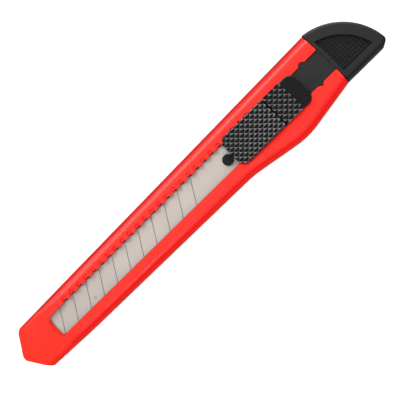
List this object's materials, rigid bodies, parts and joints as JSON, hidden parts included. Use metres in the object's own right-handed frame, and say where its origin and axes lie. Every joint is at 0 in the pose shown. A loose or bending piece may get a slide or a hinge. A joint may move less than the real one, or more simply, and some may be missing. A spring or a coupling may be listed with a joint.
{
  "type": "utility knife",
  "caption": "Slim snap-off cutter: red moulded handle with a blade window and ratchet, knurled two-part slider, segmented blade and pull-off end cap.",
  "frame": {"origin": "under the middle of the knife, on the flat face that it lies on", "axes": "+X along the knife towards the nose, +Y across it towards the blade's cutting edge and the handle's belly, +Z out of the slider's face"},
  "size_m": [0.1302, 0.0205, 0.0093],
  "materials": {
    "handle_plastic": "glossy orange-red moulded plastic",
    "blade_steel": "satin carbon steel, scored across",
    "slider_plastic": "black moulded plastic, diamond knurl",
    "cap_plastic": "black moulded plastic, satin, with a pyramid grip patch"
  },
  "bodies": {
    "handle": {"handle_body": "handle_plastic"},
    "slider": {"blade_carrier": "slider_plastic", "blade": "blade_steel", "thumb_pad": "slider_plastic"},
    "lock": {"lock_slide": "slider_plastic"},
    "pawl": {"detent_pawl": "slider_plastic"},
    "cap": {"end_cap": "cap_plastic", "snap_barbs": "cap_plastic"}
  },
  "joints": [
    {"name": "blade_slide", "type": "slide", "parent": "handle", "child": "slider", "axis": [1, 0, 0], "range_m": [0, 0.0616]},
    {"name": "lock_slide", "type": "slide", "parent": "slider", "child": "lock", "axis": [-1, 0, 0], "range_m": [0, 0.0024]},
    {"name": "pawl_pivot", "type": "hinge", "parent": "slider", "child": "pawl", "pos_m": [-0.0285, -0.0027, 0.0059], "axis": [0, 0, 1], "range_deg": [-7.2, 0]},
    {"name": "cap_pull", "type": "slide", "parent": "handle", "child": "cap", "axis": [-1, 0, 0], "range_m": [0, 0.014], "deforming": ["snap_barbs"]}
  ],
  "couplings": [
    {"joint": "pawl_pivot", "follows": "lock_slide", "rad_per_m": -51.92}
  ]
}
